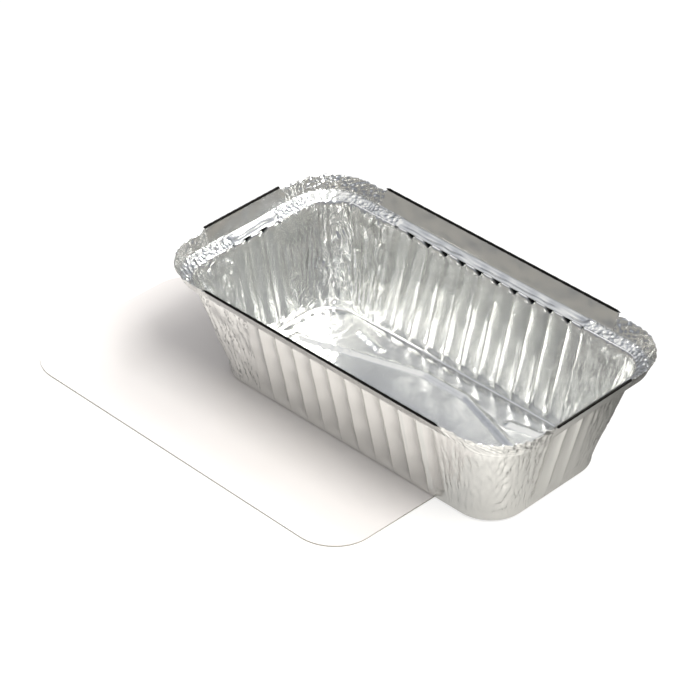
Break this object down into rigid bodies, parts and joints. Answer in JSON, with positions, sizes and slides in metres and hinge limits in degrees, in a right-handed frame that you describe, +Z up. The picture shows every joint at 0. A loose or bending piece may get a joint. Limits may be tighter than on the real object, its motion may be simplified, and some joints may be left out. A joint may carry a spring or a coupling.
{
  "type": "foil food container",
  "caption": "Rectangular fluted foil food tray with a ledge and upright flange, standing partly on its flat white card lid.",
  "frame": {"origin": "on the floor under the middle of the tray, at the underside of the card lid", "axes": "+X along the tray's long side, +Y across it away from the lid, +Z up"},
  "size_m": [0.2474, 0.1513, 0.058],
  "materials": {
    "foil": "bright rolled foil",
    "card": "coated white card"
  },
  "bodies": {
    "root": {"foil_tray": "foil", "card_lid": "card"}
  },
  "joints": []
}
